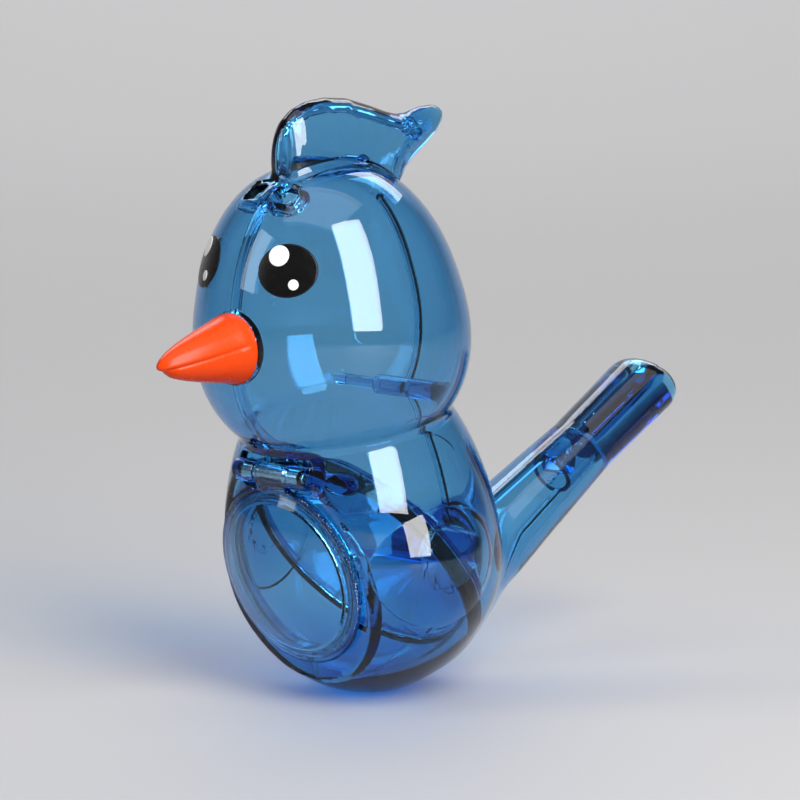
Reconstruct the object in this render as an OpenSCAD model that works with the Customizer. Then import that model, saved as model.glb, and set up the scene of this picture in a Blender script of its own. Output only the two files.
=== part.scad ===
// Bird-shaped water whistle: two clear half shells, a hinged belly door,
// a sealed baffle, a windway block in the tail, a push-in beak and printed eyes.
// The bird faces -Y, +Z is up, and X runs from its right side to its left side.
// The origin is the centre of the flat foot it stands on.

/* [Body] */
// Radius of the round belly
body_r = 21.0; // [20:0.1:23]
// How much the belly narrows towards its foot
body_taper = 0.12; // [0:0.01:0.16]
// Height of the belly's centre above the foot
body_cz = 20.5; // [20:0.1:20.8]
// Length of the upper, drawn-out half of the body
body_top = 33.9; // [31:0.1:36]
// Forward lean of the body's axis, in degrees
body_lean = 10; // [6:0.5:12]
// Wall thickness of the shells
wall = 1.6; // [1.2:0.1:1.8]

/* [Head] */
// Radius of the head across its axis
head_r = 20.2; // [19.5:0.1:21]
// Half height of the head along its axis
head_h = 25.2; // [24.5:0.1:25.6]
// Height of the dome above the widest line
head_dome = 20.5; // [20:0.1:22]
// How square the dome's shoulders are
head_square = 2.6; // [2.4:0.05:3]
// How much fuller the cheeks are than the crown
head_full = 0.26; // [0.2:0.01:0.3]
// Head centre, towards the tail
head_cy = -7.5; // [-8.5:0.1:-7]
// Head centre, above the foot
head_cz = 60.7; // [60:0.1:61.2]
// Forward lean of the head's axis, in degrees
head_lean = 7.2; // [6:0.2:9]

/* [Crest] */
// Half thickness of the crest where it is fullest
crest_t = 4.2; // [3.2:0.1:5]
// Width of the bar that a lanyard loops round
eye_bar = 1.8; // [1.4:0.1:2.4]
// Half length of the lanyard slot, bar included
eye_half = 5.2; // [3.6:0.1:5.6]
// Width of the lanyard slot
eye_w = 3.0; // [2.2:0.1:3.2]

/* [Tail] */
// Centre of the mouth end, towards the tail
tail_y = 64.3; // [60:0.1:68]
// Centre of the mouth end, above the foot
tail_z = 41.1; // [39:0.1:43]
// Rise of the tail, in degrees
tail_rise = 30; // [28:0.5:32]
// Width of the windway block
block_w = 8.6; // [7:0.1:9]
// Height of the windway
windway_h = 1.4; // [1:0.1:1.6]
// Length of the windway block
block_l = 18; // [14:0.5:20]

/* [Belly door] */
// Outer radius of the door's rim
door_r = 14.3; // [14:0.1:14.6]
// Radius of the porthole behind the door
port_r = 12.8; // [12:0.1:13]
// Downward tilt of the door, in degrees
door_tilt = 14.3; // [12:0.1:16]
// Radius of the hinge pin
pin_r = 0.8; // [0.6:0.05:0.9]
// Half length of the hinge pin
pin_half = 6.0; // [5:0.1:6.2]
// Half width of the door's knuckle
knuckle_half = 3.1; // [2.5:0.1:3.3]

/* [Baffle] */
// Radius of the baffle with its seal, up to the body wall
ball_r = 19.5; // [19:0.1:19.7]
// Inner radius of the ball-shaped front chamber
front_r = 19.0; // [18.8:0.1:19.2]
// Rise of the baffle's axis, in degrees
baffle_rise = 38; // [34:0.5:42]
// Thickness of the baffle and of its seal
baffle_t = 1.5; // [1.2:0.1:2]
// Radial depth of the black seal
seal_d = 1.2; // [0.8:0.1:1.6]
// How far the seal reaches into the body wall
seal_reach = 0.7; // [0:0.1:0.9]

/* [Beak] */
// Radius of the beak's collar
beak_r = 5.5; // [5:0.1:6]
// Length of the beak ahead of its collar
beak_l = 14.7; // [12:0.1:16]

/* [Eyes] */
// Half width of an eye print
eye_rx = 4.6; // [4:0.1:5]
// Half height of an eye print
eye_rz = 4.0; // [3.6:0.1:4.6]
// Thickness of the eye prints
ink_t = 0.12; // [0.1:0.01:0.2]

/* [Hidden] */
$fn = 48;
big = 200;
ball_cy = -0.8;
ball_cz = 21.1;
hinge_y = -18.7;
hinge_z = 35.4;
door_cy = -14.9;
door_cz = 20.0;
clear = 0.05;
// Lateral assembly posts: [y, z, socket radius, pin radius, socket start]
POSTS = [
    [9.1, 84.7, 1.1, 0.55, -0.4],
    [-3.4, 80.6, 1.2, 0.6, -0.8],
    [5.6, 46.0, 1.6, 0.9, -2.2],
    [12.2, 21.9, 2.7, 1.35, -6.5],
    [-15.0, 34.6, 1.4, 0.8, -0.8]];
// Crest sections: [y, top, bottom, half thickness as a share of crest_t]
CREST = [
    [-17.9, 84.2, 79.6, 0.16], [-17.5, 86.0, 77.4, 0.42], [-16.4, 87.8, 75.5, 0.66],
    [-14.4, 89.3, 74.0, 0.84], [-11.8, 90.2, 73.5, 0.94], [-8.4, 90.6, 73.5, 1.0],
    [-4.0, 90.3, 73.0, 1.0], [0.5, 89.1, 72.0, 0.95], [4.0, 88.0, 73.5, 0.86],
    [6.5, 87.4, 78.2, 0.76], [8.9, 87.5, 80.3, 0.66], [11.7, 88.2, 82.0, 0.52],
    [14.2, 88.4, 83.8, 0.40], [15.6, 88.0, 85.4, 0.27], [16.3, 87.4, 86.3, 0.12]];
// Tail sections, in from the mouth end: [distance, half width, half height]
TAIL = [[1.0, 5.2, 3.5], [0.6, 6.1, 4.3], [-0.1, 6.6, 4.8], [-1.0, 6.8, 4.9], [-8, 6.5, 4.8], [-18, 6.35, 4.65],
    [-27, 7.0, 5.2], [-35, 7.6, 5.6], [-45, 8.6, 6.1], [-55, 9.2, 5.9], [-64, 8.6, 4.6]];

// ---------- frames ----------
module body_frame() { translate([0, 0, body_cz]) rotate([body_lean, 0, 0]) children(); }
module head_frame() { translate([0, head_cy, head_cz]) rotate([head_lean, 0, 0]) children(); }
// +Z runs out of the tail's mouth end
module tail_frame() { translate([0, tail_y, tail_z]) rotate([tail_rise - 90, 0, 0]) children(); }
// +Z runs out of the belly through the door's centre, +Y runs up to the hinge
module door_frame() { translate([0, door_cy, door_cz]) rotate([90 + door_tilt, 0, 0]) children(); }
// +Z runs from the front chamber to the rear one, square to the baffle
module baffle_frame() { translate([0, ball_cy, ball_cz]) rotate([baffle_rise - 90, 0, 0]) children(); }
module eye_slot_frame() { head_frame() rotate([28.6, 0, 0]) children(); }
module hinge_axis() { translate([0, hinge_y, hinge_z]) rotate([0, 90, 0]) children(); }
// Keeps the bird's left half (side = 1) or right half (side = -1)
module half(side) { translate([side * big / 2, 0, 50]) cube([big, big * 2, big], center = true); }
module beak_frame() { translate([0, -26.9, 54.9]) rotate([96, 0, 0]) children(); }

// ---------- lofts ----------
// rings is a list of rings of n points each; the rings' own normal points against their order
module loft(rings, n) {
    m = len(rings);
    polyhedron(
        points = [for (r = rings) each r],
        faces = concat(
            [[for (i = [n - 1:-1:0]) i]],
            [[for (i = [0:n - 1]) (m - 1) * n + i]],
            [for (k = [0:m - 2]) for (i = [0:n - 1]) [k * n + i, k * n + (i + 1) % n, (k + 1) * n + (i + 1) % n]],
            [for (k = [0:m - 2]) for (i = [0:n - 1]) [k * n + i, (k + 1) * n + (i + 1) % n, (k + 1) * n + i]]));
}
function crest_ring(y, top, bot, t, n) =
    [for (i = [0:n - 1]) [t * cos(360 * i / n), y, (top + bot) / 2 + (top - bot) / 2 * sin(360 * i / n)]];
function tail_ring(z, w, h, n) = [for (i = [0:n - 1]) [w * cos(360 * i / n), h * sin(360 * i / n), z]];

// ---------- outer forms and cavities; d is how far inside the skin they lie ----------
// Round below its equator and drawn out above it
module body_form(d) {
    r = body_r - d;
    t = body_top - d;
    body_frame() rotate_extrude() polygon(concat(
        [for (a = [-90:9:0]) [r * cos(a) * (1 - body_taper * pow(sin(a), 2)), r * sin(a)]],
        [for (a = [8:8:48]) [r * cos(a), t * sin(a)]],
        [[0, t * sin(48)]]));
}
module head_form(d) {
    // pear-shaped below its widest line, a fuller and lower dome above it
    head_frame() rotate_extrude() polygon(concat(
        [for (a = [-90:7.5:0]) [(head_r - d) * cos(a) * (1 - head_full * sin(a)), (head_h - d) * sin(a)]],
        [for (a = [7.5:7.5:90]) let (u = (head_dome - d) * sin(a))
            [(head_r - d) * (1 - head_full * u / head_h) * pow(1 - pow(min(sin(a), 1), head_square), 1 / head_square), u]]));
}
module crest_form(d) {
    loft([for (c = CREST) if (d == 0 || (c[0] > -14.5 && c[0] < 9))
        crest_ring(c[0], c[1] - d, c[2] + d * 0.9, crest_t * c[3] - d, 20)], 20);
}
module tail_form(d) {
    tail_frame() loft([for (c = TAIL) if (d == 0 || c[0] < -17)
        tail_ring(c[0], c[1] - d, c[2] - d, 24)], 24);
}
// A raised round wing on each flank
module wing_form(d) {
    for (s = [-1, 1])
        translate([0, 0, body_cz]) rotate([0, 0, s * -11.6]) rotate([0, s * 78.7, 0]) translate([0, 0, 8.3])
            difference() {
                sphere(r = 14.9 - d);
                translate([0, 0, -12]) cube([40, 40, 24], center = true);
            }
}
module skin() {
    difference() {
        union() {
            body_form(0);
            head_form(0);
            crest_form(0);
            tail_form(0);
            wing_form(0);
        }
        translate([0, 0, -50]) cube([big, big, 100], center = true);
    }
}
// Front of the baffle: a ball, closed off from the neck by its own wall
module front_zone(r, lift) {
    intersection() {
        translate([0, ball_cy, ball_cz]) sphere(r = r);
        baffle_frame() translate([0, 0, lift - 50]) cube([100, 100, 100], center = true);
    }
}
// Behind the baffle: body, head, crest and tail in one hollow
module rear_cavity() {
    difference() {
        union() {
            difference() {
                body_form(wall);
                translate([0, 0, -50 + wall]) cube([big, big, 100], center = true);
            }
            head_form(wall);
            crest_form(wall * 0.85);
            tail_form(wall);
            wing_form(wall);
        }
        front_zone(ball_r + 1.5, baffle_t / 2 + 1);
    }
}
module front_cavity() {
    difference() {
        front_zone(front_r, baffle_t / 2);
        translate([0, 0, -50 + wall]) cube([big, big, 100], center = true);
        // the door's seat stands in front of this plane
        door_frame() translate([0, 0, 50 - 2.5]) cube([100, 100, 100], center = true);
    }
    // the baffle's way through to the rear
    baffle_frame() cylinder(r = ball_r - seal_d, h = 4);
    // porthole
    door_frame() translate([0, 0, -4]) cylinder(r = port_r, h = 14);
    // flat seat for the door's rim
    door_frame() cylinder(r = 17, h = 20);
}
module hinge_pocket() {
    hinge_axis() cylinder(r = 2.3, h = 2 * knuckle_half + 0.6, center = true);
    translate([0, hinge_y - 5, hinge_z - 0.2]) cube([2 * knuckle_half + 0.6, 10, 4.2], center = true);
    door_frame() translate([0, 15, 4.6]) cube([2 * knuckle_half + 0.6, 6, 9.6], center = true);
}
// Blocks that carry the hinge pin: lugs either side of the knuckle, and a root behind the door's seat
module hinge_bosses() {
    hinge_axis() cylinder(r = 1.8, h = 14.6, center = true);
    intersection() {
        hinge_axis() cylinder(r = 3.4, h = 15, center = true);
        door_frame() translate([0, 0, -50]) cube([100, 100, 100], center = true);
    }
}
// Lanyard slot in front of the crest, with a bar left across it
module eye_slot(side) {
    eye_slot_frame() difference() {
        union() {
            for (s = [-1, 1]) translate([s * (eye_half - eye_w / 2), 0, 16]) cylinder(d = eye_w, h = 12);
            translate([0, 0, 22]) cube([2 * eye_half - eye_w, eye_w, 12], center = true);
        }
        cube([eye_bar, 20, big], center = true);
    }
}
module posts(side) {
    for (p = POSTS) translate([0, p[0], p[1]]) rotate([0, 90, 0])
        if (side > 0)
            translate([0, 0, p[4]]) cylinder(r = p[2], h = 30);
        else
            translate([0, 0, -30]) cylinder(r = p[3], h = 33.5);
}
// On the left half the bores for the pins, on the right half the room for the sockets that reach over the seam
module post_fits(side) {
    for (p = POSTS) translate([0, p[0], p[1]]) rotate([0, 90, 0])
        if (side > 0)
            translate([0, 0, p[4] - 1]) cylinder(r = p[3] + clear, h = 5.2 - p[4]);
        else
            difference() {
                translate([0, 0, p[4] - clear]) cylinder(r = p[2] + clear, h = 2 - p[4]);
                translate([0, 0, p[4] - 2]) cylinder(r = p[3], h = 6 - p[4]);
            }
}
// Channel in the tail that holds the windway block, with the windway above it
module tail_channel() {
    tail_frame() translate([-block_w / 2, -3.1, -19]) cube([block_w, windway_h + 4.6, 25]);
    tail_frame() translate([0, 0, -26]) cylinder(r = 2.8, h = 9);
}
// The beak's root fills a round hole in the face
module beak_socket() { beak_frame() translate([0, 0, -4]) cylinder(r = beak_r - 0.17, h = 20); }

module shell_half(side) {
    color([0.35, 0.6, 0.85, 0.45])
    difference() {
        union() {
            difference() {
                intersection() {
                    skin();
                    half(side);
                }
                rear_cavity();
                front_cavity();
                tail_channel();
            }
            intersection() {
                skin();
                union() {
                    posts(side);
                    intersection() {
                        hinge_bosses();
                        half(side);
                    }
                }
            }
        }
        hinge_pocket();
        hinge_axis() cylinder(r = pin_r, h = 2 * pin_half, center = true);
        eye_slot(side);
        beak_socket();
        post_fits(side);
        baffle_frame() cylinder(r = ball_r + seal_reach, h = baffle_t, center = true);
    }
}

// ---------- beak ----------
module beak() {
    color([1, 0.27, 0.02])
    difference() {
        beak_frame() rotate_extrude() polygon(concat(
            [[0, -0.6], [beak_r - 0.4, -0.6], [beak_r - 0.2, -0.4], [beak_r - 0.2, 0.7], [beak_r - 0.43, 1.5]],
            [for (d = [1, 0.9, 0.8, 0.7, 0.6, 0.5, 0.4, 0.3, 0.21, 0.13, 0.07, 0.03, 0.01])
                [(beak_r - 0.7) * pow(d, 0.53), beak_l - (beak_l - 2.3) * d]],
            [[0, beak_l]]));
        // mouth line, higher at the root than at the tip
        beak_frame() for (s = [-1, 1]) translate([s * 5.1, 1.3, 1.6]) rotate([6.5, 0, 0]) rotate([0, s * -17, 0])
            rotate([0, 0, 45]) translate([0, 0, 7]) cube([0.5, 0.5, 18], center = true);
    }
}

// ---------- eyes: thin prints wrapped on the head ----------
module eye_axis(side) { translate([0, head_cy, head_cz]) rotate([0, 0, side * 27.4]) rotate([90 - 18.3, 0, 0]) children(); }
module print(side, rx, rz, dx, dz, lift) {
    intersection() {
        difference() {
            head_form(-lift - ink_t);
            head_form(-lift);
        }
        eye_axis(side) translate([dx, dz, 8]) linear_extrude(height = 22)
            polygon([for (i = [0:35]) [rx * cos(i * 10), rz * sin(i * 10)]]);
    }
}
module eye_print(side) { color([0.04, 0.04, 0.045]) print(side, eye_rx, eye_rz, 0, 0, 0.02); }
// the two glints sit the same way round on both eyes
module eye_glints(side) {
    color([0.97, 0.97, 0.97]) {
        print(side, 1.6, 1.6, -1.45, 2.1, 0.02 + ink_t);
        print(side, 0.8, 0.8, 1.15, -2.1, 0.02 + ink_t);
    }
}

// ---------- belly door ----------
// The lid is part of a ball of radius dome_r
dome_r = 25.0;
dome_cz = 5.1 - dome_r;
module lid() {
    difference() {
        union() {
            intersection() {
                translate([0, 0, dome_cz]) sphere(r = dome_r);
                cylinder(r = door_r - 0.45, h = 10);
            }
            translate([0, 0, 0.05]) cylinder(r = door_r, h = 0.95);
            translate([0, 0, -2.2]) cylinder(r = 12.15, h = 3);
        }
        intersection() {
            translate([0, 0, dome_cz]) sphere(r = dome_r - 1.4);
            cylinder(r = door_r - 2.9, h = 10);
        }
        translate([0, 0, -3]) cylinder(r = door_r - 2.9, h = 3.5);
    }
}
module belly_door() {
    color([0.35, 0.6, 0.85, 0.45])
    difference() {
        union() {
            door_frame() lid();
            // knuckle, and the arm that joins it to the rim
            hinge_axis() cylinder(r = 1.55, h = 2 * knuckle_half, center = true);
            door_frame() translate([0, 15.1, 0.65]) cube([2 * knuckle_half - 0.3, 3.0, 1.1], center = true);
        }
        hinge_axis() cylinder(r = pin_r + clear, h = 20, center = true);
    }
}
module door_hinge_pin() { color([0.75, 0.75, 0.77]) hinge_axis() cylinder(r = pin_r, h = 2 * pin_half, center = true); }
module door_seal() {
    color([0.9, 0.93, 0.95, 0.6]) door_frame() translate([0, 0, -1.7]) difference() {
        cylinder(r = 12.4, h = 1.1);
        translate([0, 0, -1]) cylinder(r = 12.15, h = 4);
    }
}

// ---------- baffle ----------
module baffle_plate() {
    color([0.1, 0.45, 0.75, 0.5]) baffle_frame() difference() {
        cylinder(r = ball_r - seal_d, h = baffle_t, center = true);
        // bubble port
        translate([0, 9, 0]) cylinder(r = 1.5, h = 6, center = true);
    }
}
module baffle_seal() {
    color([0.03, 0.03, 0.03]) baffle_frame() difference() {
        cylinder(r = ball_r + seal_reach, h = baffle_t, center = true);
        cylinder(r = ball_r - seal_d, h = baffle_t + 2, center = true);
    }
}

// ---------- whistle ----------
module windway_block() {
    color([0.05, 0.35, 0.7, 0.7]) tail_frame() translate([-block_w / 2, -3.1 + windway_h, -19])
        cube([block_w, 4.6, block_l]);
}
module labium_insert() {
    color([0.05, 0.35, 0.7, 0.7]) tail_frame() intersection() {
        translate([0, 0, -25.6]) cylinder(r = 2.78, h = 4.6);
        rotate([0, 90, 0]) linear_extrude(height = 8, center = true)
            polygon([[21, -2.4], [25.6, -2.9], [25.6, 0.3], [24.6, 0.3]]);
    }
}

shell_half(1);  // shell_left
shell_half(-1);  // shell_right
beak();
eye_print(1);  // left_eye_print
eye_print(-1);  // right_eye_print
eye_glints(1);  // left_eye_glints
eye_glints(-1);  // right_eye_glints
belly_door();
door_hinge_pin();
door_seal();
baffle_plate();
baffle_seal();
windway_block();
labium_insert();
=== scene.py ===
import math
from concurrent.futures import ThreadPoolExecutor

import bmesh
import bpy
import numpy as np
from mathutils import Matrix, Vector


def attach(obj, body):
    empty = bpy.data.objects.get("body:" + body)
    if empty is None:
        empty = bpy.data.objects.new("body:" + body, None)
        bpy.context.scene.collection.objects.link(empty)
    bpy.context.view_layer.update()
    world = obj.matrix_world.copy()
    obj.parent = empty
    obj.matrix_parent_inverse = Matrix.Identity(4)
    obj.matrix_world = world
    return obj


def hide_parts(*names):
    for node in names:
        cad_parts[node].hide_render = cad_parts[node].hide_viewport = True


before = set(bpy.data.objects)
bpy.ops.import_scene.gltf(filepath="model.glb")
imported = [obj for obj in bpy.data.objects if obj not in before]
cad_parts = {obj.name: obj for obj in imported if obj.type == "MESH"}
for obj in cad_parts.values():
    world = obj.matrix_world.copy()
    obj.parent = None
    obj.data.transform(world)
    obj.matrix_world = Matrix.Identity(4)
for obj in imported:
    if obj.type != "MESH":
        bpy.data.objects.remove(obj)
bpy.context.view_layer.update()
STEP = 0.40  # mm, the sampling of the moulded shells
sin, cos, rad = math.sin, math.cos, math.radians

# ---------------------------------------------------------------------------
# Dimensions, in mm, as the CAD holds them
# ---------------------------------------------------------------------------
BODY_R, BODY_CZ, BODY_TOP, BODY_LEAN, BODY_TAPER = 21.0, 20.5, 33.9, 10.0, 0.12
HEAD_R, HEAD_H, HEAD_FULL, HEAD_CY, HEAD_CZ, HEAD_LEAN = 20.2, 25.2, 0.26, -7.5, 60.7, 7.2
HEAD_DOME, HEAD_SQUARE = 20.5, 2.6
WALL = 1.55
TAIL_Y, TAIL_Z, TAIL_RISE = 64.3, 41.1, 30.0
BLOCK_W, WIND_H, BLOCK_L = 8.6, 1.4, 18.0
DOOR_R, PORT_R, DOOR_TILT, DOOR_CY, DOOR_CZ = 14.3, 12.8, 14.3, -14.9, 20.0
HINGE_Y, HINGE_Z, PIN_R, KNUCKLE = -18.7, 35.4, 0.8, 3.1
BALL_R, BALL_CY, BALL_CZ, BAFFLE_RISE, BAFFLE_T, SEAL_D, SEAL_REACH = 19.5, -0.8, 21.1, 38.0, 1.5, 1.2, 0.7
FRONT_R = 19.0
POSTS = [(9.1, 84.7, 1.1, 0.55, -0.4), (-3.4, 80.6, 1.2, 0.6, -0.8), (5.6, 46.0, 1.6, 0.9, -2.2),
         (12.2, 21.9, 2.7, 1.35, -6.5), (-15.0, 34.6, 1.4, 0.8, -0.8)]
CREST = np.array([
    [-17.9, 84.2, 79.6, 0.16], [-17.5, 86.0, 77.4, 0.42], [-16.4, 87.8, 75.5, 0.66],
    [-14.4, 89.3, 74.0, 0.84], [-11.8, 90.2, 73.5, 0.94], [-8.4, 90.6, 73.5, 1.0],
    [-4.0, 90.3, 73.0, 1.0], [0.5, 89.1, 72.0, 0.95], [4.0, 88.0, 73.5, 0.86],
    [6.5, 87.4, 78.2, 0.76], [8.9, 87.5, 80.3, 0.66], [11.7, 88.2, 82.0, 0.52],
    [14.2, 88.4, 83.8, 0.40], [15.6, 88.0, 85.4, 0.27], [16.3, 87.4, 86.3, 0.12]])
CREST_T = 4.2
TAIL = np.array([[1.0, 5.2, 3.5], [0.6, 6.1, 4.3], [-0.1, 6.6, 4.8], [-1.0, 6.8, 4.9], [-8, 6.5, 4.8], [-18, 6.35, 4.65],
                 [-27, 7.0, 5.2], [-35, 7.6, 5.6], [-45, 8.6, 6.1], [-55, 9.2, 5.9], [-64, 8.6, 4.6]])


BEAK_R, BEAK_L, BEAK_Y, BEAK_Z, BEAK_A = 5.5, 14.7, -26.9, 54.9, 96.0


# ---------------------------------------------------------------------------
# Distance fields. p is (x, y, z) of float32 arrays; every field is negative inside.
# ---------------------------------------------------------------------------
def smin(a, b, k):
    h = np.maximum(k - np.abs(a - b), 0) / k
    return np.minimum(a, b) - h * h * k * 0.25


def smax(a, b, k):
    return -smin(-a, -b, k)


def frame_x(p, origin, deg):
    """Coordinates in a frame turned by deg about X, as OpenSCAD's translate() rotate([deg, 0, 0]) makes it."""
    c, s = cos(rad(deg)), sin(rad(deg))
    y, z = p[1] - origin[1], p[2] - origin[2]
    return p[0] - origin[0], y * c + z * s, -y * s + z * c


def body_f(p):
    x, v, u = frame_x(p, (0, 0, BODY_CZ), BODY_LEAN)
    r2 = x * x + v * v
    r = np.sqrt(r2)
    s = u / BODY_R
    w = 1 - BODY_TAPER * np.minimum(s * s, 1.2)
    rho = r / (BODY_R * w)
    k = np.sqrt(rho * rho + s * s) + 1e-6
    gr, gu = rho / (k * BODY_R * w), (s + rho * rho * 2 * BODY_TAPER * s / w) / (k * BODY_R)
    low = (k - 1) / (np.sqrt(gr * gr + gu * gu) + 1e-3)
    k0 = np.sqrt(r2 / BODY_R ** 2 + (u / BODY_TOP) ** 2)
    k1 = np.sqrt(r2 / BODY_R ** 4 + (u / BODY_TOP ** 2) ** 2) + 1e-6
    return np.where(u < 0, low, k0 * (k0 - 1) / k1)


def head_f(p):
    x, v, u = frame_x(p, (0, HEAD_CY, HEAD_CZ), HEAD_LEAN)
    r = np.sqrt(x * x + v * v)
    w = np.maximum(1 - HEAD_FULL * u / HEAD_H, 0.3)
    rho = r / (HEAD_R * w)
    slope = HEAD_FULL / (HEAD_H * w)
    # below the widest line: a pear
    s = u / HEAD_H
    k = np.sqrt(rho * rho + s * s) + 1e-6
    gr = rho / (k * HEAD_R * w)
    gu = (s / HEAD_H + rho * rho * slope) / k
    low = (k - 1) / (np.sqrt(gr * gr + gu * gu) + 1e-3)
    # above it: a squarer dome
    n = HEAD_SQUARE
    s = np.maximum(u, 1e-3) / HEAD_DOME
    rho_ = np.maximum(rho, 1e-3)
    k = (rho_ ** n + s ** n) ** (1 / n)
    gr = (rho_ / k) ** (n - 1) / (HEAD_R * w)
    gu = (s / k) ** (n - 1) / HEAD_DOME + (rho_ / k) ** (n - 1) * rho_ * slope
    high = (k - 1) / (np.sqrt(gr * gr + gu * gu) + 1e-3)
    return np.where(u < 0, low, high)


def table(values, xs):
    """A smooth curve through a table, and its slope, sampled finely once."""
    t = np.linspace(xs[0], xs[-1], 1500)
    v = np.interp(t, xs, values)
    n = 60
    kernel = np.hanning(n); kernel /= kernel.sum()
    pad = np.concatenate([2 * v[0] - v[n:0:-1], v, 2 * v[-1] - v[-2:-n - 2:-1]])
    v = np.convolve(pad, kernel, "same")[n:-n]
    return t, v, np.gradient(v, t)


_ct = [table(CREST[:, i], CREST[:, 0]) for i in (1, 2, 3)]


def crest_f(p):
    x, y, z = p
    top, bot, th = (np.interp(y, t, v).astype(np.float32) for t, v, _ in _ct)
    dtop, dbot, dth = (np.interp(y, t, g, 0, 0).astype(np.float32) for t, _, g in _ct)
    th = th * CREST_T; dth = dth * CREST_T
    c, h, dc, dh = (top + bot) / 2, np.maximum((top - bot) / 2, 0.2), (dtop + dbot) / 2, (dtop - dbot) / 2
    a, b = x / th, (z - c) / h
    k = np.sqrt(a * a + b * b) + 1e-6
    gx, gz = a / (k * th), b / (k * h)
    gy = -(a * a * dth / th + b * (dc + b * dh) / h) / k
    d = (k - 1) / np.sqrt(gx * gx + gy * gy + gz * gz + 1e-4)
    ends = np.maximum(CREST[0, 0] + 0.1 - y, y - CREST[-1, 0] - 0.1)
    return np.maximum(smax(d, ends, 0.6), np.abs(x) - CREST_T)



_tt = [table(TAIL[::-1, i], TAIL[::-1, 0]) for i in (1, 2)]


def tail_local(p):
    return frame_x(p, (0, TAIL_Y, TAIL_Z), TAIL_RISE - 90)


def tail_f(p):
    x, v, s = tail_local(p)
    w, h = (np.interp(s, TAIL[::-1, 0], TAIL[::-1, i]).astype(np.float32) for i in (1, 2))
    w = np.where(s > -1, 6.8, w); h = np.where(s > -1, 4.9, h)
    k0 = np.sqrt((x / w) ** 2 + (v / h) ** 2)
    k1 = np.sqrt((x / w ** 2) ** 2 + (v / h ** 2) ** 2) + 1e-6
    d = k0 * (k0 - 1) / k1
    d = smax(d, s - 1.0, 3.4)
    return smax(d, -64.5 - s, 5.0)


def wing_f(p, side):
    n = np.array([sin(rad(78.7)) * cos(rad(11.6)), -sin(rad(78.7)) * sin(rad(11.6)), cos(rad(78.7))])
    n[0] *= side
    c = np.array([0, 0, BODY_CZ]) + 8.3 * n
    x, y, z = p[0] - c[0], p[1] - c[1], p[2] - c[2]
    r = np.sqrt(x * x + y * y + z * z)
    t = x * n[0] + y * n[1] + z * n[2]
    rim = np.sqrt(np.maximum(r * r - t * t, 0)) - 11.25
    return np.maximum(smax(r - 14.9, rim, 0.12), 4 - t)


def cyl_x(p, y, z, r):
    return np.sqrt((p[1] - y) ** 2 + (p[2] - z) ** 2) - r


def slab(v, lo, hi):
    return np.maximum(lo - v, v - hi)


def box_f(p, c, h, r):
    q = [np.abs(p[i] - c[i]) - (h[i] - r) for i in range(3)]
    out = np.sqrt(sum(np.maximum(t, 0) ** 2 for t in q))
    return out + np.minimum(np.maximum(np.maximum(q[0], q[1]), q[2]), 0) - r


def door_local(p):
    return frame_x(p, (0, DOOR_CY, DOOR_CZ), 90 + DOOR_TILT)


def baffle_local(p):
    return frame_x(p, (0, BALL_CY, BALL_CZ), BAFFLE_RISE - 90)


def pocket_f(p):
    """The hollow round the hinge."""
    q = box_f(p, (0, HINGE_Y - 3.4, HINGE_Z + 0.2), (7.5, 4.9, 2.5), 0.9)
    slot = box_f(p, (0, HINGE_Y - 2.6, HINGE_Z - 1.0), (KNUCKLE + 0.3, 5.0, 3.4), 0.4)
    return np.minimum(q, slot)


def slot_local(p):
    return frame_x(p, (0, HEAD_CY, HEAD_CZ), HEAD_LEAN + 28.6)


def eye_slots(p, grow=0.0):
    """The two openings of the lanyard eye, either side of the bar."""
    x, v, u = slot_local(p)
    side = np.abs(x) - 3.1
    q0, q1 = np.abs(side) - (2.1 - 1.0), np.abs(v) - (1.5 - 1.0)
    d = np.sqrt(np.maximum(q0, 0) ** 2 + np.maximum(q1, 0) ** 2) + np.minimum(np.maximum(q0, q1), 0) - 1.0
    return np.maximum(d - grow, 15 - u)


def beak_hole(p):
    x, v, w = frame_x(p, (0, BEAK_Y, BEAK_Z), BEAK_A)
    return np.maximum(np.sqrt(x * x + v * v) - (BEAK_R - 0.17), np.maximum(-4 - w, w - 16))


def form_f(p):
    """The bird's outer form, before anything is cut from it."""
    d = smin(body_f(p), head_f(p), 1.3)
    d = smin(d, crest_f(p), 1.3)
    d = smin(d, tail_f(p), 6.5)
    d = np.minimum(d, smin(wing_f(p, 1), wing_f(p, -1), 0.1))
    return smax(d, -p[2], 0.5)


def skin_f(p, d):
    x, v, w = door_local(p)
    seat = np.maximum(np.sqrt(x * x + v * v) - 17.0, -w)
    d = smax(d, -seat, 0.35)
    d = smax(d, -pocket_f(p), 0.5)
    return d


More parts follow.
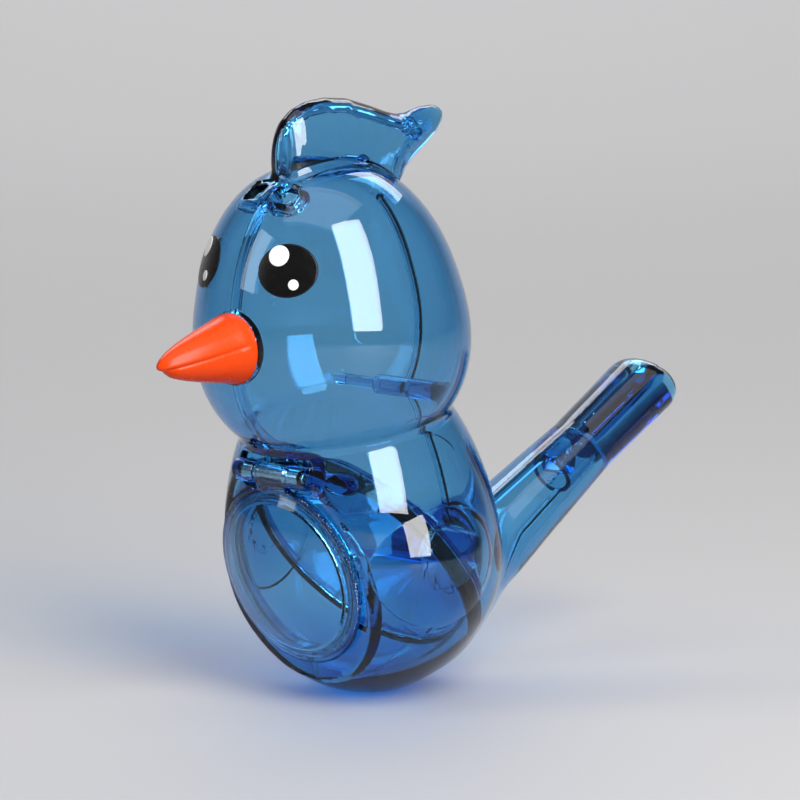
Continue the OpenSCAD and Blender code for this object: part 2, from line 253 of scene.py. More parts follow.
def shell_f(p, side):
    x, y, z = p
    plain = form_f(p)
    skin = skin_f(p, plain)
    gap = 0.035
    cav = skin + WALL
    # the seam's inner lip
    cav = np.maximum(cav, -np.maximum(np.abs(x) - 0.55, -(skin + WALL + 0.7)))
    # front chamber's own wall
    bx, bv, bw = baffle_local(p)
    ball = np.sqrt(x * x + (y - BALL_CY) ** 2 + (z - BALL_CZ) ** 2)
    front = np.maximum(ball - BALL_R - 1.3, bw - BAFFLE_T / 2 - 0.9)
    cav = smax(cav, -front, 0.4)
    tx, tv, ts = tail_local(p)
    housing = np.maximum(np.maximum(np.abs(tx) - BLOCK_W / 2 - 0.8, slab(tv, -4.1, 3.8)), slab(ts, -19.9, 5))
    housing = np.minimum(housing, np.maximum(np.abs(np.sqrt(tx * tx + tv * tv) - 3.3) - 0.5, slab(ts, -26.5, -19)))
    cav = np.maximum(cav, -housing)
    cav = np.maximum(cav, ts + 2.0)
    slots = eye_slots(p)
    lip = np.maximum(eye_slots(p, 0.85), 17.6 - slot_local(p)[2])
    cav = smax(cav, -lip, 0.3)
    d = smax(skin, -cav, 0.25)
    d = smax(d, -slots, 0.3)
    d = smax(d, -beak_hole(p), 0.1)
    # front chamber, the baffle's seat and the way through it
    dx, dv, dw = door_local(p)
    dr = np.sqrt(dx * dx + dv * dv)
    br = np.sqrt(bx * bx + bv * bv)
    inner = np.maximum(np.maximum(ball - FRONT_R, bw - BAFFLE_T / 2), dw + 2.5)
    inner = np.maximum(inner, np.maximum(WALL - z, body_f(p) + WALL))
    inner = np.minimum(inner, np.maximum(br - (BALL_R - SEAL_D), slab(bw, 0, 4)))
    d = smax(d, -inner, 0.25)
    d = np.maximum(d, -np.maximum(br - BALL_R - SEAL_REACH, slab(bw, -BAFFLE_T / 2 - 0.03, BAFFLE_T / 2 + 0.03)))
    d = smax(d, -np.maximum(dr - PORT_R, slab(dw, -4, 10)), 0.25)
    # windway channel
    chan = np.maximum(np.maximum(np.abs(tx) - BLOCK_W / 2, slab(tv, -3.1, 2.9)), slab(ts, -19, 6))
    bore = np.maximum(np.sqrt(tx * tx + tv * tv) - 2.8, slab(ts, -27, -17))
    d = smax(d, -np.minimum(chan, bore), 0.2)
    # keep to this half
    d = np.maximum(d, gap - side * x)
    # pins on the right half, sockets on the left one
    inside = skin + 0.6
    for py, pz, rs, rp, x0 in POSTS:
        c = cyl_x(p, py, pz, 0)
        if side > 0:
            post = np.maximum(np.maximum(c - rs, x0 - x), inside)
            d = smin(d, post, 0.5)
            d = smax(d, -np.maximum(c - rp - 0.08, slab(x, x0 - 1, 4.4)), 0.12)
        else:
            post = smax(np.maximum(c - rp, inside), x - 3.4, 0.3)
            d = smin(d, post, 0.5)
            d = np.maximum(d, -np.maximum(np.maximum(c - rs - 0.06, rp + 0.02 - c), slab(x, x0 - 0.05, 1)))
    # hinge lugs, and the blind bosses behind them
    ax = side * x
    lug = smax(cyl_x(p, HINGE_Y, HINGE_Z, 1.78), slab(ax, KNUCKLE + 0.12, 7.35), 0.15)
    web = np.maximum(slab(ax, KNUCKLE + 0.12, 7.35), np.maximum(slab(z, HINGE_Z - 1.78, HINGE_Z + 0.9), slab(y, HINGE_Y, HINGE_Y + 3.4)))
    boss = smax(cyl_x(p, HINGE_Y + 0.2, HINGE_Z, 1.35), slab(ax, 6.8, 12.6), 0.5)
    boss = np.maximum(boss, plain + 0.25)
    lug = np.minimum(smin(lug, boss, 0.3), np.maximum(web, plain + 0.1))
    d = smin(d, np.maximum(lug, gap - ax), 0.25)
    d = np.maximum(d, -np.maximum(cyl_x(p, HINGE_Y, HINGE_Z, PIN_R + 0.03), slab(ax, 0, 6.05)))
    return d


def door_f(p):
    """The lid with its finely beaded rim, spigot, arm and knuckle."""
    dx, dv, dw = door_local(p)
    r = np.sqrt(dx * dx + dv * dv)
    ang = np.arctan2(dv, dx)
    cz = 5.1 - 25.0
    ball = np.sqrt(r * r + (dw - cz) ** 2)
    cap = np.maximum(ball - 25.0, np.maximum(r - (DOOR_R - 0.45), -dw))
    bead = 0.13 * np.cos(ang * 150) * np.clip((dw - 0.15) * 4, 0, 1)
    rim = smax(r - (DOOR_R - 0.15) - bead, slab(dw, 0.07, 1.0), 0.35)
    rim = np.maximum(rim, r - DOOR_R + 0.02)
    d = smin(cap, rim, 0.25)
    d = smin(d, smax(r - 12.1, slab(dw, -1.7, 1), 0.2), 0.15)
    inner = np.minimum(np.maximum(ball - 23.75, 0.3 - dw), np.maximum(r - 11.75, slab(dw, -4, 1.0)))
    d = smax(d, -inner, 0.4)
    arm = box_f((dx, dv, dw), (0, 15.1, 0.65), (KNUCKLE, 1.5, 0.55), 0.2)
    knuckle = smax(cyl_x(p, HINGE_Y, HINGE_Z, 1.55), np.abs(p[0]) - KNUCKLE, 0.25)
    d = smin(d, smin(arm, knuckle, 0.5), 0.4)
    d = np.maximum(d, -(cyl_x(p, HINGE_Y, HINGE_Z, PIN_R + 0.05)))
    return d


# ---------------------------------------------------------------------------
# Meshing: surface nets on a sampled field, then each point moved onto the true surface
# ---------------------------------------------------------------------------
def evaluate(fn, p, chunk=200_000):
    n = len(p[0])
    out = np.empty(n, np.float32)
    spans = [(i, min(i + chunk, n)) for i in range(0, n, chunk)]

    def go(span):
        a, b = span
        out[a:b] = fn(tuple(np.ascontiguousarray(q[a:b]) for q in p))
    with ThreadPoolExecutor(4) as pool:
        list(pool.map(go, spans))
    return out


def gradient(fn, v, e):
    g = np.empty_like(v)
    for i in range(3):
        a, b = v.copy(), v.copy()
        a[:, i] += e
        b[:, i] -= e
        g[:, i] = (evaluate(fn, a.T) - evaluate(fn, b.T)) / (2 * e)
    return g


def unit(a):
    return a / np.maximum(np.linalg.norm(a, axis=-1, keepdims=True), 1e-9)


def net(fn, lo, hi, h):
    """Dual contouring: one point per cell that the surface crosses, placed so that edges stay crisp."""
    lo, hi = np.array(lo, float), np.array(hi, float)
    n = np.ceil((hi - lo) / h).astype(int) + 1
    axes = [np.float32(lo[i]) + np.arange(n[i], dtype=np.float32) * np.float32(h) for i in range(3)]
    grid = np.meshgrid(*axes, indexing="ij")
    f = evaluate(fn, [g.ravel() for g in grid]).reshape(n)
    del grid
    s = f < 0
    c = np.zeros(n - 1, np.int8)
    for dx in (0, 1):
        for dy in (0, 1):
            for dz in (0, 1):
                c += s[dx:n[0] - 1 + dx, dy:n[1] - 1 + dy, dz:n[2] - 1 + dz]
    idx = np.argwhere((c > 0) & (c < 8))
    number = np.full(n - 1, -1, np.int64)
    number[tuple(idx.T)] = np.arange(len(idx))
    m = len(idx)
    A, B, P, N, count = np.zeros((6, m)), np.zeros((3, m)), np.zeros((3, m)), np.zeros((3, m)), np.zeros(m)
    quads = []
    for ax in range(3):
        u, w = (ax + 1) % 3, (ax + 2) % 3
        first = [slice(1, -1)] * 3
        first[ax] = slice(0, n[ax] - 1)
        second = list(first)
        second[ax] = slice(1, n[ax])
        sa, sb = s[tuple(first)], s[tuple(second)]
        e = np.argwhere(sa != sb)
        inside_first = sa[tuple(e.T)]
        for k in (u, w):
            e[:, k] += 1
        # where the surface crosses each grid edge
        start = (e * h + lo).astype(np.float32)
        t0, t1 = np.zeros(len(e), np.float32), np.ones(len(e), np.float32)
        f0 = f[tuple(e.T)].copy()
        e1 = e.copy(); e1[:, ax] += 1
        f1 = f[tuple(e1.T)].copy()
        for k in range(5):
            t = t0 + (t1 - t0) * np.clip(f0 / np.where(f0 == f1, 1, f0 - f1), 0.05, 0.95)
            q = start.copy(); q[:, ax] += t * np.float32(h)
            ft = evaluate(fn, q.T)
            low = (ft < 0) == (f0 < 0)
            t0, f0 = np.where(low, t, t0), np.where(low, ft, f0)
            t1, f1 = np.where(low, t1, t), np.where(low, f1, ft)
        t = t0 + (t1 - t0) * np.clip(f0 / np.where(f0 == f1, 1, f0 - f1), 0, 1)
        q = start.copy(); q[:, ax] += t * np.float32(h)
        g = unit(gradient(fn, q, 0.02)).astype(float)
        q = q.astype(float)
        dist = (g * q).sum(1)
        outer = [g[:, 0] * g[:, 0], g[:, 0] * g[:, 1], g[:, 0] * g[:, 2], g[:, 1] * g[:, 1], g[:, 1] * g[:, 2], g[:, 2] * g[:, 2]]
        steps = []
        for du, dw in ((-1, -1), (0, -1), (0, 0), (-1, 0)):
            cell = e.copy()
            cell[:, u] += du
            cell[:, w] += dw
            k = number[tuple(cell.T)]
            steps.append(k)
            add = lambda values: np.bincount(k, weights=values, minlength=m)
            for i in range(6):
                A[i] += add(outer[i])
            for i in range(3):
                B[i] += add(g[:, i] * dist)
                P[i] += add(q[:, i])
                N[i] += add(g[:, i])
            count += np.bincount(k, minlength=m)
        quad = np.stack(steps, 1)
        quad[~inside_first] = quad[~inside_first][:, ::-1]
        quads.append(quad)
    quads = np.concatenate(quads)
    mass = (P / count).T
    weight = 0.04 * count
    M = np.empty((m, 3, 3))
    for i, (r, q) in enumerate(((0, 0), (0, 1), (0, 2), (1, 1), (1, 2), (2, 2))):
        M[:, r, q] = M[:, q, r] = A[i]
    local = B.T - np.einsum("nij,nj->ni", M, mass)
    M += weight[:, None, None] * np.eye(3)
    move = np.linalg.solve(M, local[..., None])[..., 0]
    length = np.linalg.norm(move, axis=1, keepdims=True)
    move *= np.minimum(1, 0.95 * h / np.maximum(length, 1e-9))
    v = (mass + move).astype(np.float32)
    # where the surface is smooth the point goes exactly onto it
    smooth = np.linalg.norm(N / count, axis=0) > 0.985
    w_ = v[smooth]
    for k in range(2):
        d = evaluate(fn, w_.T)
        g = gradient(fn, w_, 0.05)
        w_ -= np.clip(d / np.maximum((g * g).sum(1), 0.3), -0.3 * h, 0.3 * h)[:, None] * g
    v[smooth] = w_
    at_point = unit(gradient(fn, v, 0.04))
    # a corner's normal is the point's own, unless the face it belongs to turns away sharply there
    flat = unit(np.cross(v[quads[:, 2]] - v[quads[:, 0]], v[quads[:, 3]] - v[quads[:, 1]]))
    centre = v[quads].mean(1)
    inner = (v[quads] * 0.55 + centre[:, None] * 0.45).reshape(-1, 3)
    near_face = unit(gradient(fn, inner.astype(np.float32), 0.03)).reshape(-1, 4, 3)
    bad = (near_face * flat[:, None]).sum(2) < 0.75
    near_face[bad] = np.broadcast_to(flat[:, None], near_face.shape)[bad]
    corner = at_point[quads]
    sharp = ((corner * near_face).sum(2) < 0.95) | ~smooth[quads]
    corner[sharp] = near_face[sharp]
    return v, quads, corner.reshape(-1, 3)


def mesh_object(name, verts_mm, faces, normals=None, smooth=True):
    me = bpy.data.meshes.new(name)
    faces = np.asarray(faces)
    me.vertices.add(len(verts_mm))
    me.vertices.foreach_set("co", (np.asarray(verts_mm, np.float32) / 1000).ravel())
    me.loops.add(faces.size)
    me.loops.foreach_set("vertex_index", faces.astype(np.int32).ravel())
    me.polygons.add(len(faces))
    me.polygons.foreach_set("loop_start", np.arange(0, faces.size, faces.shape[1], dtype=np.int32))
    me.update(calc_edges=True)
    me.validate()
    me.polygons.foreach_set("use_smooth", np.full(len(me.polygons), smooth))
    if normals is not None and len(me.loops) == len(normals):
        me.normals_split_custom_set([tuple(n) for n in normals.tolist()])
    o = bpy.data.objects.new(name, me)
    bpy.context.scene.collection.objects.link(o)
    return o


def fix_normals(o):
    bm = bmesh.new()
    bm.from_mesh(o.data)
    bmesh.ops.recalc_face_normals(bm, faces=bm.faces)
    bm.to_mesh(o.data)
    bm.free()


# ---------------------------------------------------------------------------
# Materials
# ---------------------------------------------------------------------------
def material(name):
    m = bpy.data.materials.new(name)
    m.use_nodes = True
    nt = m.node_tree
    nt.nodes.clear()
    return m, nt, nt.nodes.new("ShaderNodeOutputMaterial")


def noise(nt, scale, detail=3.0):
    tc = nt.nodes.new("ShaderNodeTexCoord")
    n = nt.nodes.new("ShaderNodeTexNoise")
    n.inputs["Scale"].default_value = scale
    n.inputs["Detail"].default_value = detail
    nt.links.new(tc.outputs["Object"], n.inputs["Vector"])
    return n


def ramp(nt, source, lo, hi, a, b):
    r = nt.nodes.new("ShaderNodeMapRange")
    r.inputs["From Min"].default_value, r.inputs["From Max"].default_value = lo, hi
    r.inputs["To Min"].default_value, r.inputs["To Max"].default_value = a, b
    nt.links.new(source, r.inputs["Value"])
    return r.outputs["Result"]


def bump(nt, source, strength, distance):
    b = nt.nodes.new("ShaderNodeBump")
    b.inputs["Strength"].default_value = strength
    b.inputs["Distance"].default_value = distance
    nt.links.new(source, b.inputs["Height"])
    return b.outputs["Normal"]


def clear_plastic(name, colour, density, shadow, rough=0.012, ior=1.50):
    m, nt, out = material(name)
    g = nt.nodes.new("ShaderNodeBsdfPrincipled")
    g.inputs["Base Color"].default_value = (0.97, 0.985, 1.0, 1)
    g.inputs["Transmission Weight"].default_value = 1.0
    g.inputs["IOR"].default_value = ior
    n = noise(nt, 260)
    nt.links.new(ramp(nt, n.outputs["Fac"], 0.3, 0.75, rough * 0.5, rough * 2.2), g.inputs["Roughness"])
    nt.links.new(bump(nt, noise(nt, 95, 1.0).outputs["Fac"], 0.05, 0.0003), g.inputs["Normal"])
    t = nt.nodes.new("ShaderNodeBsdfTransparent")
    t.inputs["Color"].default_value = (*shadow, 1)
    lp = nt.nodes.new("ShaderNodeLightPath")
    mix = nt.nodes.new("ShaderNodeMixShader")
    nt.links.new(lp.outputs["Is Shadow Ray"], mix.inputs[0])
    nt.links.new(g.outputs[0], mix.inputs[1])
    nt.links.new(t.outputs[0], mix.inputs[2])
    nt.links.new(mix.outputs[0], out.inputs["Surface"])
    v = nt.nodes.new("ShaderNodeVolumeAbsorption")
    v.inputs["Color"].default_value = (*colour, 1)
    v.inputs["Density"].default_value = density
    nt.links.new(v.outputs[0], out.inputs["Volume"])
    return m


def opaque(name, colour, rough, coat=0.0, grain=0.0, grain_scale=900, vary=0.0, metallic=0.0, spec=0.5):
    m, nt, out = material(name)
    g = nt.nodes.new("ShaderNodeBsdfPrincipled")
    n = noise(nt, grain_scale, 4.0)
    g.inputs["Metallic"].default_value = metallic
    g.inputs["Coat Weight"].default_value = coat
    g.inputs["Coat Roughness"].default_value = 0.06
    g.inputs["Specular IOR Level"].default_value = spec
    mix = nt.nodes.new("ShaderNodeMix")
    mix.data_type = "RGBA"
    mix.inputs["A"].default_value = (*[c * (1 - vary) for c in colour], 1)
    mix.inputs["B"].default_value = (*[min(1, c * (1 + vary)) for c in colour], 1)
    nt.links.new(noise(nt, grain_scale / 9, 2.0).outputs["Fac"], mix.inputs["Factor"])
    nt.links.new(mix.outputs["Result"], g.inputs["Base Color"])
    nt.links.new(ramp(nt, n.outputs["Fac"], 0.3, 0.7, rough * 0.85, rough * 1.2), g.inputs["Roughness"])
    if grain:
        nt.links.new(bump(nt, n.outputs["Fac"], grain, 0.00012), g.inputs["Normal"])
    nt.links.new(g.outputs[0], out.inputs["Surface"])
    return m


BLUE = clear_plastic("clear_blue_plastic", (0.008, 0.622, 0.882), 640.0, (0.955, 0.960, 0.967))
BLUE_INNER = clear_plastic("inner_blue_plastic", (0.01, 0.64, 0.86), 620.0, (0.86, 0.90, 0.93))
CLEAR_RUBBER = clear_plastic("clear_rubber", (0.55, 0.70, 0.85), 60.0, (0.9, 0.93, 0.96), rough=0.12, ior=1.42)
ORANGE = opaque("orange_plastic", (0.60, 0.042, 0.0005), 0.24, coat=0.0, grain=0.05, vary=0.03, grain_scale=1500, spec=0.18)
BLACK_INK = opaque("black_ink", (0.003, 0.003, 0.0032), 0.26, coat=0.0, grain=0.05, vary=0.1, spec=0.25)
WHITE_INK = opaque("white_ink", (0.70, 0.70, 0.70), 0.30, coat=0.3, grain=0.05, vary=0.02)
BLACK_RUBBER = opaque("black_rubber", (0.003, 0.003, 0.003), 0.75, grain=0.2, vary=0.2, grain_scale=1300, spec=0.08)
STEEL = opaque("steel_wire", (0.62, 0.62, 0.64), 0.24, metallic=1.0, grain=0.1, vary=0.06, grain_scale=2200)


def dress(o, mat, body, node):
    o.data.materials.clear()
    o.data.materials.append(mat)
    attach(o, body)
    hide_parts(node)
    return o


# ---------------------------------------------------------------------------
# The moulded clear parts
# ---------------------------------------------------------------------------
def make_shell(side):
    lo, hi = (-7.2 if side > 0 else -24, -31, -0.4), (24 if side > 0 else 4.6, 67.5, 92)
    # the seam's plane runs through the middle of a layer of cells
    lo = (side * 0.035 + 0.5 * STEP - math.ceil(-lo[0] / STEP) * STEP, lo[1], lo[2])
    v, q, n = net(lambda p: shell_f(p, side), lo, hi, STEP)
    name = "left" if side > 0 else "right"
    return dress(mesh_object(f"half_shell_{name}", v, q, n), BLUE, "whistle", f"shell_{name}")


left = make_shell(1)
right = make_shell(-1)
v, q, n = net(door_f, (-15.6, -23.4, 3.6), (15.6, -9.4, 39.2), 0.26)
door = dress(mesh_object("domed_belly_door", v, q, n), BLUE, "door", "belly_door")


# ---------------------------------------------------------------------------
# Turned and bevelled inner parts
# ---------------------------------------------------------------------------
def turned(name, profile, segments=128, transform=None):
    """A closed ring turned from a closed profile of (r, z)."""
    profile = np.array(profile, float)
    m = len(profile)
    t = np.arange(segments) * 2 * np.pi / segments
    v = np.empty((segments, m, 3))
    v[..., 0] = profile[None, :, 0] * np.cos(t)[:, None]
    v[..., 1] = profile[None, :, 0] * np.sin(t)[:, None]
    v[..., 2] = profile[None, :, 1]
    v = v.reshape(-1, 3)
    faces = []
    for i in range(segments):
        for j in range(m):
            a, b = i * m + j, i * m + (j + 1) % m
            c, d = ((i + 1) % segments) * m + (j + 1) % m, ((i + 1) % segments) * m + j
            faces.append((a, d, c, b))
    if transform is not None:
        v = transform(v)
    o = mesh_object(name, v, faces)
    fix_normals(o)
    return o


def from_frame_x(v, origin, deg):
    c, s = cos(rad(deg)), sin(rad(deg))
    out = v.copy()
    out[:, 1] = v[:, 1] * c - v[:, 2] * s + origin[1]
    out[:, 2] = v[:, 1] * s + v[:, 2] * c + origin[2]
    out[:, 0] = v[:, 0] + origin[0]
    return out


def rounded(pts, r, n=5):
    """A closed 2-D outline with its corners rounded."""
    pts = [np.array(p, float) for p in pts]
    out = []
    for i, p in enumerate(pts):
        a, b = pts[i - 1], pts[(i + 1) % len(pts)]
        ua, ub = (a - p) / np.linalg.norm(a - p), (b - p) / np.linalg.norm(b - p)
        k = min(r, np.linalg.norm(a - p) * 0.45, np.linalg.norm(b - p) * 0.45)
        for t in np.linspace(0, 1, n):
            out.append((1 - t) ** 2 * (p + ua * k) + 2 * t * (1 - t) * p + t * t * (p + ub * k))
    return out


to_baffle = lambda v: from_frame_x(v, (0, BALL_CY, BALL_CZ), BAFFLE_RISE - 90)
to_door = lambda v: from_frame_x(v, (0, DOOR_CY, DOOR_CZ), 90 + DOOR_TILT)
to_tail = lambda v: from_frame_x(v, (0, TAIL_Y, TAIL_Z), TAIL_RISE - 90)

ri, ro, t2 = BALL_R - SEAL_D + 0.02, BALL_R + SEAL_REACH + 0.02, BAFFLE_T / 2 + 0.05
seal = turned("black_seal_ring", rounded([(ri, -t2), (ro, -t2), (ro, t2), (ri, t2)], 0.05, 4), 256, to_baffle)
dress(seal, BLACK_RUBBER, "whistle", "baffle_seal")


def disc_with_port(name):
    """The baffle: a round plate with a bubble port through it."""
    def f(p):
        bx, bv, bw = baffle_local(p)
        r = np.sqrt(bx * bx + bv * bv)
        rp = np.sqrt(bx * bx + (bv - 9) ** 2)
        d = smax(r - (BALL_R - SEAL_D - 0.03), np.abs(bw) - BAFFLE_T / 2 + 0.03, 0.3)
        return smax(d, 1.5 - rp, 0.3)
    v, q, n = net(f, (-19, -13.8, 6.4), (19, 12.2, 35.8), 0.42)
    return mesh_object(name, v, q, n)


dress(disc_with_port("baffle_disc"), BLUE_INNER, "whistle", "baffle_plate")
o_ring = turned("door_ring_seal", [(12.275 + 0.115 * cos(a), -1.15 + 0.5 * sin(a)) for a in np.linspace(0, 2 * np.pi, 17)[:-1]], 160, to_door)
dress(o_ring, CLEAR_RUBBER, "door", "door_seal")
pin = turned("hinge_pin", rounded([(0.0001, -6.0), (PIN_R - 0.02, -6.0), (PIN_R - 0.02, 6.0), (0.0001, 6.0)], 0.2, 4), 40,
             lambda v: np.stack([v[:, 2], v[:, 0] + HINGE_Y, v[:, 1] + HINGE_Z], 1))
dress(pin, STEEL, "whistle", "door_hinge_pin")


def prism(name, outline, axis_lo, axis_hi, bevel, place):
    """An extruded outline, bevelled. The outline lies in the plane across X."""
    m = len(outline)
    v = [(axis_lo, a, b) for a, b in outline] + [(axis_hi, a, b) for a, b in outline]
    bm = bmesh.new()
    bv = [bm.verts.new(c) for c in v]
    bm.faces.new(bv[:m])
    bm.faces.new(bv[m:][::-1])
    for i in range(m):
        bm.faces.new((bv[i], bv[m + i], bv[m + (i + 1) % m], bv[(i + 1) % m]))
    bmesh.ops.recalc_face_normals(bm, faces=bm.faces)
    bmesh.ops.bevel(bm, geom=list(bm.edges), offset=bevel, segments=3, affect="EDGES", profile=0.5, clamp_overlap=True)
    bm.normal_update()
    co = np.array([x.co[:] for x in bm.verts])
    co = place(co)
    for x, c in zip(bm.verts, co):
        x.co = c / 1000
    me = bpy.data.meshes.new(name)
    bm.to_mesh(me)
    bm.free()
    o = bpy.data.objects.new(name, me)
    bpy.context.scene.collection.objects.link(o)
    return o


g = 0.04
block = prism("windway_plug", [(-3.1 + WIND_H, -19 + g), (2.9 - g, -19 + g), (2.9 - g, -1 - g), (-3.1 + WIND_H, -1 - g)],
              -BLOCK_W / 2 + g, BLOCK_W / 2 - g, 0.22, to_tail)
dress(block, BLUE_INNER, "whistle", "windway_block")


def labium(name):
    def f(p):
        x, v, s = tail_local(p)
        d = np.sqrt(x * x + v * v) - 2.72
        # the wedge: a blunt back and a thin lip that faces the windway
        top = -2.4 + (-21.1 - s) * 0.78
        return smax(smax(d, v - np.minimum(top, 0.3), 0.12), slab(s, -25.55, -21.05), 0.12)
    c = (0, TAIL_Y - 20.2, TAIL_Z - 11.65)
    v, q, n = net(f, (-3.1, c[1] - 4, c[2] - 4.6), (3.1, c[1] + 4, c[2] + 4.2), 0.18)
    return mesh_object(name, v, q, n)


dress(labium("labium_lip"), BLUE_INNER, "whistle", "labium_insert")

# ---------------------------------------------------------------------------
# Beak
# ---------------------------------------------------------------------------
def beak():
    """One closed skin: a root that fills the hole in the face and two mandibles with a mouth line."""
    seg, rows = 160, []
    t = np.arange(seg) * 2 * np.pi / seg          # 0 at +X, 90 deg is up
    st = np.sin(t)
    root = BEAK_R - 0.22
    for r, z in [(0.0001, -0.57), (2.5, -0.57), (4.3, -0.57), (root - 0.22, -0.57), (root - 0.07, -0.52), (root, -0.36), (root, 0.3)]:
        rows.append((np.full(seg, r), np.full(seg, z)))
    zs = np.concatenate([np.linspace(0.5, BEAK_L - 0.7, 84), BEAK_L - 0.02 - 0.68 * (1 - np.sin(np.linspace(0.08, 1, 14) * np.pi / 2))])
    for z in zs:
        d = max((BEAK_L - z) / (BEAK_L - 2.3), 0)
        core = (BEAK_R - 0.7) * d ** 0.53 + 0.20 * math.exp(-(z / 2.2) ** 2)
        r = np.full(seg, core)
        r = -np.logaddexp(-r * 9, -root * 9) / 9 if z < 3 else r
        # mouth line: a soft groove, high at the root and falling to the tip
        mouth = 1.30 - 1.75 * z / BEAK_L
        dist = st * r - mouth
        side_of = np.clip((np.abs(np.cos(t)) - 0.15) * 4, 0, 1)
        fade = np.clip((z - 0.3) / 2.0, 0, 1) * np.clip((BEAK_L - z) / 1.5, 0.2, 1)
        groove = 0.26 * fade * np.exp(-(dist / 0.26) ** 2) * side_of
        below = 1 / (1 + np.exp(np.clip(dist / 0.09, -30, 30)))
        r = np.maximum(r - groove - 0.17 * fade * below, 0.02)
        # the lower mandible ends short of the upper tip
        zz = np.full(seg, z)
        if z > BEAK_L - 2.5:
            zz = zz - 0.85 * ((z - BEAK_L + 2.5) / 2.5) * (1 / (1 + np.exp(np.clip((st * r - mouth) * 9, -30, 30))))
        rows.append((r, zz))
    V = np.concatenate([np.stack([r * np.cos(t), r * np.sin(t), z], 1) for r, z in rows])
    V = from_frame_x(V, (0, BEAK_Y, BEAK_Z), BEAK_A)
    faces = []
    for i in range(len(rows) - 1):
        for j in range(seg):
            a, b = i * seg + j, i * seg + (j + 1) % seg
            faces.append((a, b, b + seg, a + seg))
    V = np.vstack([V, V[-seg:].mean(0), V[:seg].mean(0)])
    o = mesh_object("beak_with_mouth_line", V, faces)
    bm = bmesh.new()
    bm.from_mesh(o.data)
    bm.verts.ensure_lookup_table()
    last, tip, base = (len(rows) - 1) * seg, len(V) - 2, len(V) - 1
    for j in range(seg):
        bm.faces.new((bm.verts[last + j], bm.verts[last + (j + 1) % seg], bm.verts[tip]))
        bm.faces.new((bm.verts[(j + 1) % seg], bm.verts[j], bm.verts[base]))
    bmesh.ops.recalc_face_normals(bm, faces=bm.faces)
    for f in bm.faces:
        f.smooth = True
    bm.to_mesh(o.data)
    bm.free()
    return o


dress(beak(), ORANGE, "whistle", "beak")


# ---------------------------------------------------------------------------
# Eyes: raised prints that follow the head
# ---------------------------------------------------------------------------
def eye_layer(name, side, discs, base, thick):
    """Rounded ovals of ink on the head. discs is [(centre x, centre z, rx, rz), ...] in the eye's own plane."""
    a = rad(side * 27.4)
    e = rad(90 - 18.3)
    R = Matrix.Rotation(a, 3, "Z") @ Matrix.Rotation(e, 3, "X")
    R = np.array(R)
    o = np.array([0, HEAD_CY, HEAD_CZ])
    V, F = [], []
    for cx, cz, rx, rz in discs:
        rings, seg = 22, 72
        start = sum(len(x) for x in V)
        for top in (0, 1):
            for i in range(rings + 1):
                k = (i / rings) ** 0.8
                t = np.arange(seg) * 2 * np.pi / seg
                edge = thick * min(1.0, math.sqrt(max(0.0, (1 - k) * rx / thick / 0.8)))
                lift = base + (max(edge, 0.004) if top else 0.0)
                if i == rings:
                    lift = base + thick * (0.45 if top else 0.0)
                p = np.stack([cx + rx * k * np.cos(t), cz + rz * k * np.sin(t), np.full(seg, 20.0)], 1) @ R.T + o
                ax = R @ np.array([0, 0, 1.0])
                for _ in range(14):
                    d = head_f(tuple(p[:, j].astype(np.float32) for j in range(3))) - lift
                    p -= (d[:, None] * ax[None])
                V.append(p)
        m = rings + 1
        for top in (0, 1):
            for i in range(rings):
                for j in range(seg):
                    a0 = start + (top * m + i) * seg + j
                    a1 = start + (top * m + i) * seg + (j + 1) % seg
                    F.append((a0, a1, a1 + seg, a0 + seg))
        for j in range(seg):
            b0 = start + rings * seg + j
            b1 = start + rings * seg + (j + 1) % seg
            t0 = start + (m + rings) * seg + j
            t1 = start + (m + rings) * seg + (j + 1) % seg
            F.append((b0, b1, t1, t0))
    o_ = mesh_object(name, np.concatenate(V), F)
    bm = bmesh.new()
    bm.from_mesh(o_.data)
    bmesh.ops.remove_doubles(bm, verts=bm.verts, dist=2e-6)
    bmesh.ops.dissolve_degenerate(bm, edges=bm.edges, dist=1e-6)
    bmesh.ops.recalc_face_normals(bm, faces=bm.faces)
    for f in bm.faces:
        f.smooth = True
    bm.to_mesh(o_.data)
    bm.free()
    return o_


for side, name in ((1, "left"), (-1, "right")):
    dress(eye_layer(f"{name}_eye_ink", side, [(0, 0, 4.58, 3.98)], 0.02, 0.12), BLACK_INK, "whistle", f"{name}_eye_print")
    dress(eye_layer(f"{name}_eye_white_dots", side, [(-1.45, 2.1, 1.58, 1.58), (1.15, -2.1, 0.79, 0.79)], 0.15, 0.10),
          WHITE_INK, "whistle", f"{name}_eye_glints")

# ---------------------------------------------------------------------------
# Stage, light and camera
# ---------------------------------------------------------------------------
def sweep(name):
    """A studio sweep: a flat floor that curves up into a wall on the far side from the camera."""
    run = [(-2.2, 0.0), (-0.6, 0.0), (-0.2, 0.0), (0.2, 0.0), (0.5, 0.0)]
    run += [(0.75 + 0.45 * math.sin(t), 0.45 - 0.45 * math.cos(t)) for t in np.linspace(0, math.pi / 2, 24)]
    run += [(1.2, 1.0), (1.2, 2.6)]
    ca, sa = math.cos(math.radians(45)), math.sin(math.radians(45))
    verts, faces = [], []
    for u, z in run:
        for w in (-2.6, 2.6):
            verts.append((-sa * u + ca * w, ca * u + sa * w, z - 0.0002))
    for i in range(len(run) - 1):
        faces.append((2 * i, 2 * i + 1, 2 * i + 3, 2 * i + 2))
    me = bpy.data.meshes.new(name)
    me.from_pydata(verts, [], faces)
    me.polygons.foreach_set("use_smooth", [True] * len(faces))
    o = bpy.data.objects.new(name, me)
    bpy.context.scene.collection.objects.link(o)
    return o


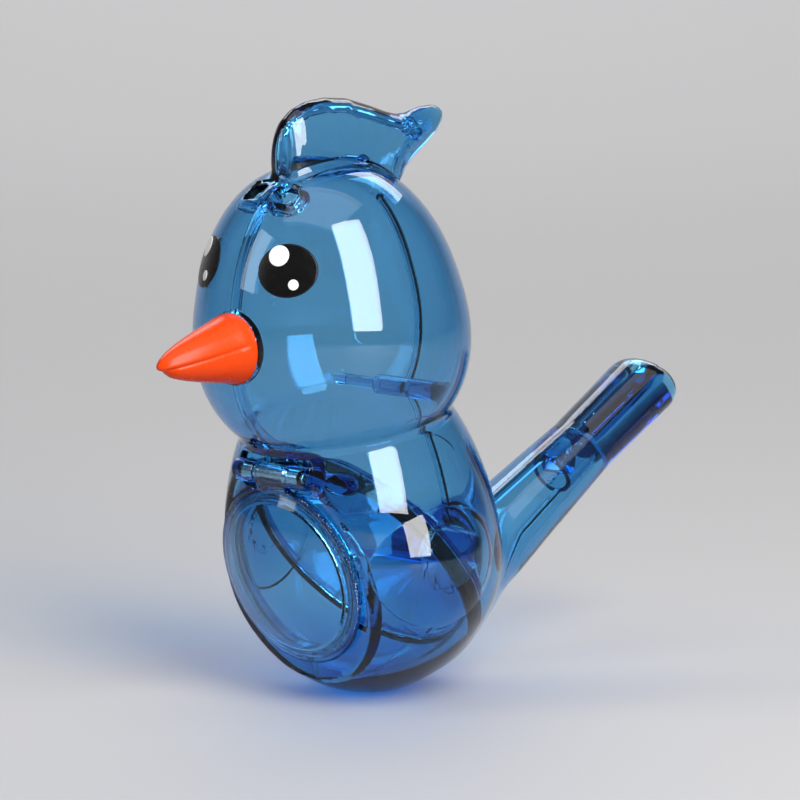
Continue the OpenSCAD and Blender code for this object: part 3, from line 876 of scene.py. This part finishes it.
def stage_material(name, colour, rough):
    m, nt, out = material(name)
    g = nt.nodes.new("ShaderNodeBsdfPrincipled")
    g.inputs["Base Color"].default_value = (*colour, 1)
    g.inputs["Roughness"].default_value = rough
    g.inputs["Specular IOR Level"].default_value = 0.2
    nt.links.new(g.outputs[0], out.inputs["Surface"])
    return m


floor = sweep("floor")
floor.data.materials.append(stage_material("floor_grey", (0.37, 0.367, 0.372), 0.6))

T = Vector((0, 0.0076, 0.0437))
AZ, EL, DIST = rad(45), rad(8.5), 0.600
back = Vector((sin(AZ) * cos(EL), -cos(AZ) * cos(EL), sin(EL)))
cam = bpy.data.objects.new("camera", bpy.data.cameras.new("camera"))
bpy.context.scene.collection.objects.link(cam)
cam.data.sensor_width = 36
cam.data.lens = 3936 * 36 / 800
cam.location = T + back * DIST
cam.rotation_mode = "QUATERNION"
cam.rotation_quaternion = (-back).to_track_quat("-Z", "Y")
cam.data.clip_start = 0.01
bpy.context.scene.camera = cam


def area(name, az, el, dist, size, size_y, power, target=(0, 0, 0.045), colour=(1, 1, 1)):
    a, e = rad(az), rad(el)
    d = Vector((sin(a) * cos(e), -cos(a) * cos(e), sin(e)))
    light = bpy.data.lights.new(name, "AREA")
    light.shape = "RECTANGLE"
    light.size, light.size_y = size, size_y
    light.energy = power
    light.color = colour
    o = bpy.data.objects.new(name, light)
    o.location = Vector(target) + d * dist
    o.rotation_mode = "QUATERNION"
    o.rotation_quaternion = (-d).to_track_quat("-Z", "Y")
    bpy.context.scene.collection.objects.link(o)
    return o


area("key_strip", 76, 33, 0.75, 0.36, 0.80, 11.5)
area("top_soft", 20, 80, 1.3, 1.2, 1.0, 5.0)
area("wall_wash", 225, 86, 0.85, 1.6, 0.5, 9.8, target=(-0.62, 0.62, 0.0))
area("fill_left", -30, 25, 1.1, 0.3, 0.6, 2.0)

world = bpy.data.worlds.new("studio")
bpy.context.scene.world = world
world.use_nodes = True
wn = world.node_tree
wn.nodes.clear()
wo = wn.nodes.new("ShaderNodeOutputWorld")
bg = wn.nodes.new("ShaderNodeBackground")
bg.inputs["Color"].default_value = (0.17, 0.17, 0.175, 1)
bg.inputs["Strength"].default_value = 1.0
wn.links.new(bg.outputs[0], wo.inputs["Surface"])
bpy.context.scene.view_settings.view_transform = "Standard"
